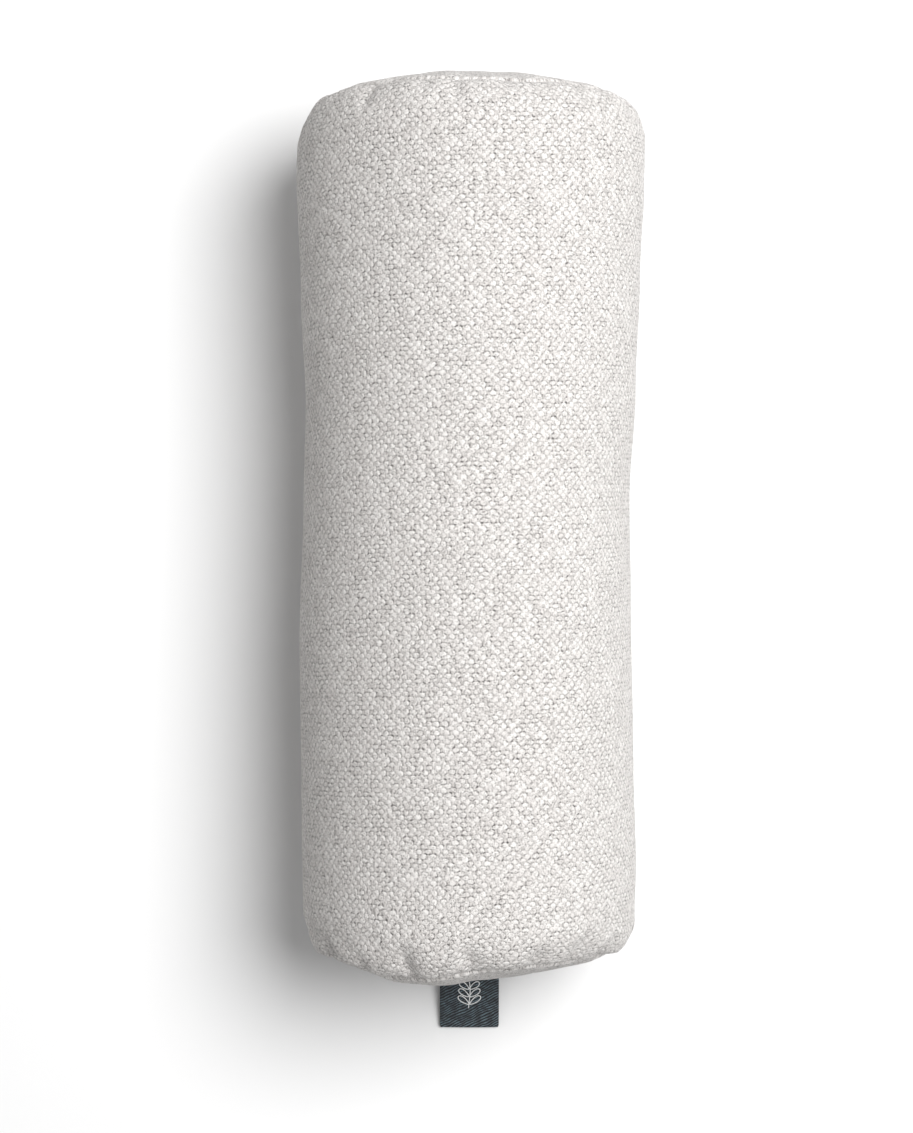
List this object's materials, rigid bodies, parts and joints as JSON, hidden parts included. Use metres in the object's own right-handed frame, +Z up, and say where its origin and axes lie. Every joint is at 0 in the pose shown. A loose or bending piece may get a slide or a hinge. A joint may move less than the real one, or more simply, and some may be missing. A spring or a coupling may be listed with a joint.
{
  "type": "bolster pillow",
  "caption": "Cylindrical bolster pillow: removable woven cover with round end panels, a lengthwise zip and a folded side label, over a sewn liner of loose filling.",
  "frame": {"origin": "middle of the flat patch on the underside that the bolster rests on", "axes": "+Y along the bolster, away from the label end; +Z up, away from the resting patch; +X towards the side that carries the zip"},
  "size_m": [0.15, 0.4318, 0.147],
  "materials": {
    "cover_fabric": "chunky off-white plain weave with slubs, matt",
    "seam_thread": "spun polyester sewing thread",
    "zip_tape": "woven tape, matt",
    "zip_nylon": "nylon coil, satin",
    "zip_metal": "die-cast zinc, satin nickel",
    "label_ribbon": "twill-woven slate ribbon with a pale woven motif",
    "care_satin": "satin tape, blank",
    "liner_cotton": "unbleached plain-woven cotton",
    "hull_filling": "loose dry grain hulls"
  },
  "bodies": {
    "cover": {"cover_body": "cover_fabric", "end_panel_front": "cover_fabric", "end_panel_rear": "cover_fabric", "end_seam_front": "seam_thread", "end_seam_rear": "seam_thread", "zip_topstitch_upper": "seam_thread", "zip_topstitch_lower": "seam_thread", "zip_tape_upper": "zip_tape", "zip_tape_lower": "zip_tape", "zip_coil_upper": "zip_nylon", "zip_coil_lower": "zip_nylon", "zip_top_stop_upper": "zip_metal", "zip_top_stop_lower": "zip_metal", "zip_bottom_stop": "zip_metal", "care_label": "care_satin", "liner_body": "liner_cotton", "liner_end_front": "liner_cotton", "liner_end_rear": "liner_cotton", "hull_filling": "hull_filling"},
    "slider": {"zip_slider": "zip_metal"},
    "pull": {"zip_pull": "zip_metal"},
    "label": {"side_label": "label_ribbon"}
  },
  "joints": [
    {"name": "zip_slide", "type": "slide", "parent": "cover", "child": "slider", "axis": [0, -1, 0], "range_m": [0, 0.314]},
    {"name": "pull_swing", "type": "hinge", "parent": "slider", "child": "pull", "pos_m": [0.0548, 0.157, 0.0172], "axis": [0.7071, 0, 0.7071], "range_deg": [-85, 85]},
    {"name": "label_flex", "type": "hinge", "parent": "cover", "child": "label", "pos_m": [0, -0.1881, 0.011], "axis": [-1, 0, 0], "range_deg": [0, 70], "stiffness_Nm_per_rad": 0.0004}
  ]
}
